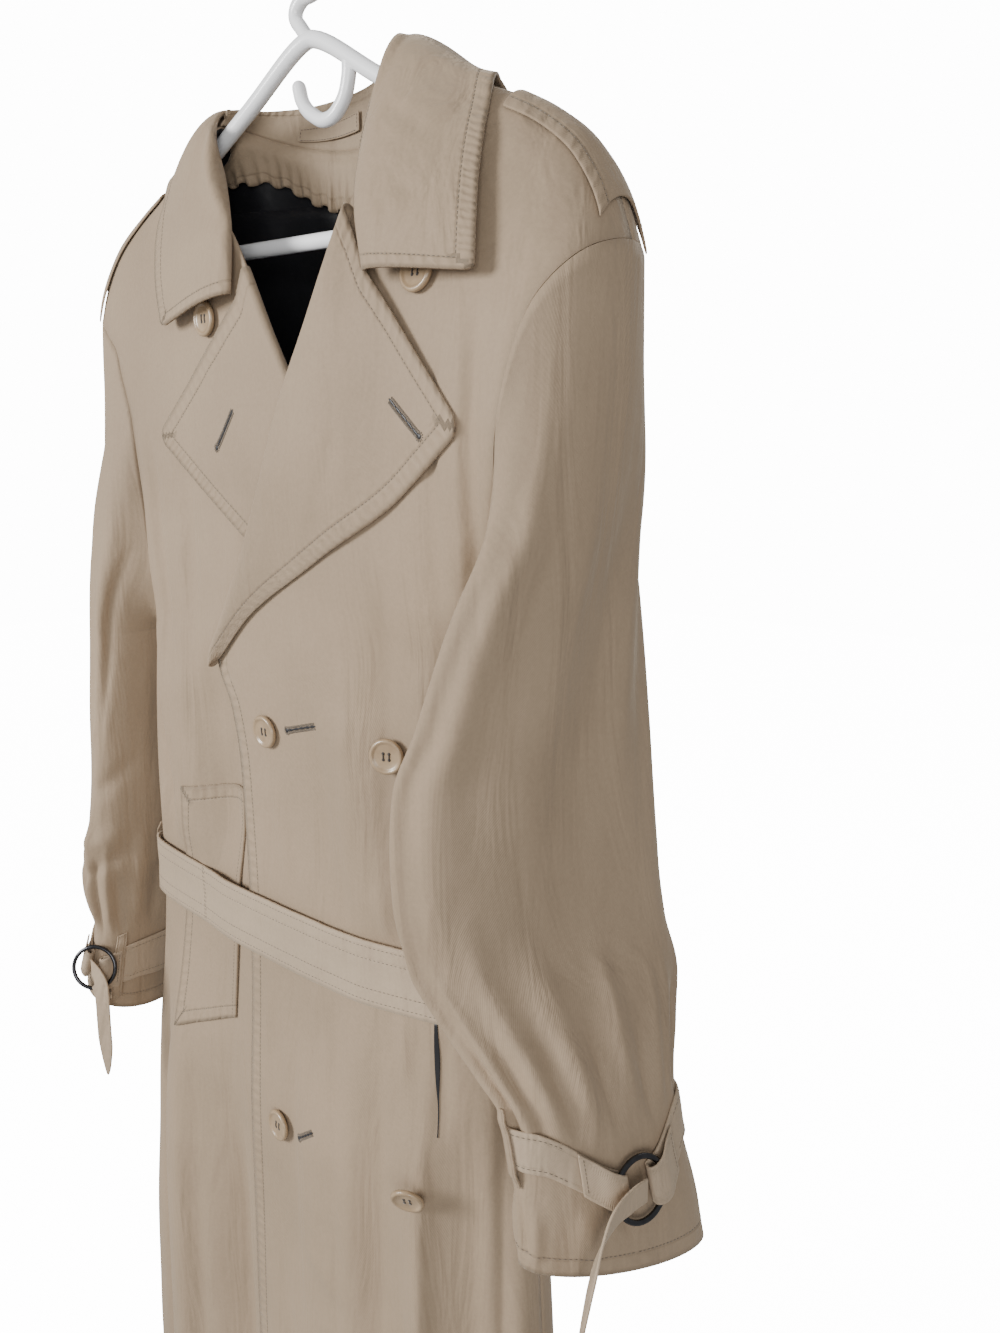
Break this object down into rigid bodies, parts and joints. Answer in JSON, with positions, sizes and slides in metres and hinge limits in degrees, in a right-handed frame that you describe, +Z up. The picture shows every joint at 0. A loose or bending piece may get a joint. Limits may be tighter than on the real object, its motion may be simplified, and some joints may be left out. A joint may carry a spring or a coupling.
{
  "type": "trench coat on hanger",
  "caption": "Long double-breasted belted trench coat with wide lapels, hanging open at the neck on a tubular plastic hanger.",
  "frame": {"origin": "inner crown of the hanger's hook, where it rests on what holds it", "axes": "+Z up, -Y the coat's front, +X the wearer's left"},
  "size_m": [0.5857, 0.2296, 1.2988],
  "materials": {
    "gabardine": "smooth tightly woven twill with a soft sheen",
    "lining": "black satin lining",
    "horn": "cream and tan mottled horn look, four holes",
    "gunmetal": "dark polished wire",
    "hanger_plastic": "white gloss"
  },
  "bodies": {
    "root": {"sleeve_left": "gabardine", "sleeve_right": "gabardine", "front_left": "gabardine", "front_right": "gabardine", "back": "gabardine", "lapel_left": "gabardine", "lapel_right": "gabardine", "collar": "gabardine", "collar_stand": "gabardine", "hang_loop": "gabardine", "back_facing": "gabardine", "epaulette_left": "gabardine", "epaulette_right": "gabardine", "pocket_welt": "gabardine", "belt": "gabardine", "belt_loop_left": "gabardine", "belt_loop_right": "gabardine", "cuff_strap_left": "gabardine", "cuff_strap_right": "gabardine", "cuff_loop_left": "gabardine", "cuff_loop_right": "gabardine", "cuff_tail_left": "gabardine", "cuff_tail_right": "gabardine", "lining_back": "lining", "button_1_left": "horn", "button_1_right": "horn", "button_2_left": "horn", "button_2_right": "horn", "button_3_left": "horn", "button_3_right": "horn", "cuff_ring_left": "gunmetal", "cuff_ring_right": "gunmetal", "hanger": "hanger_plastic"}
  },
  "joints": []
}
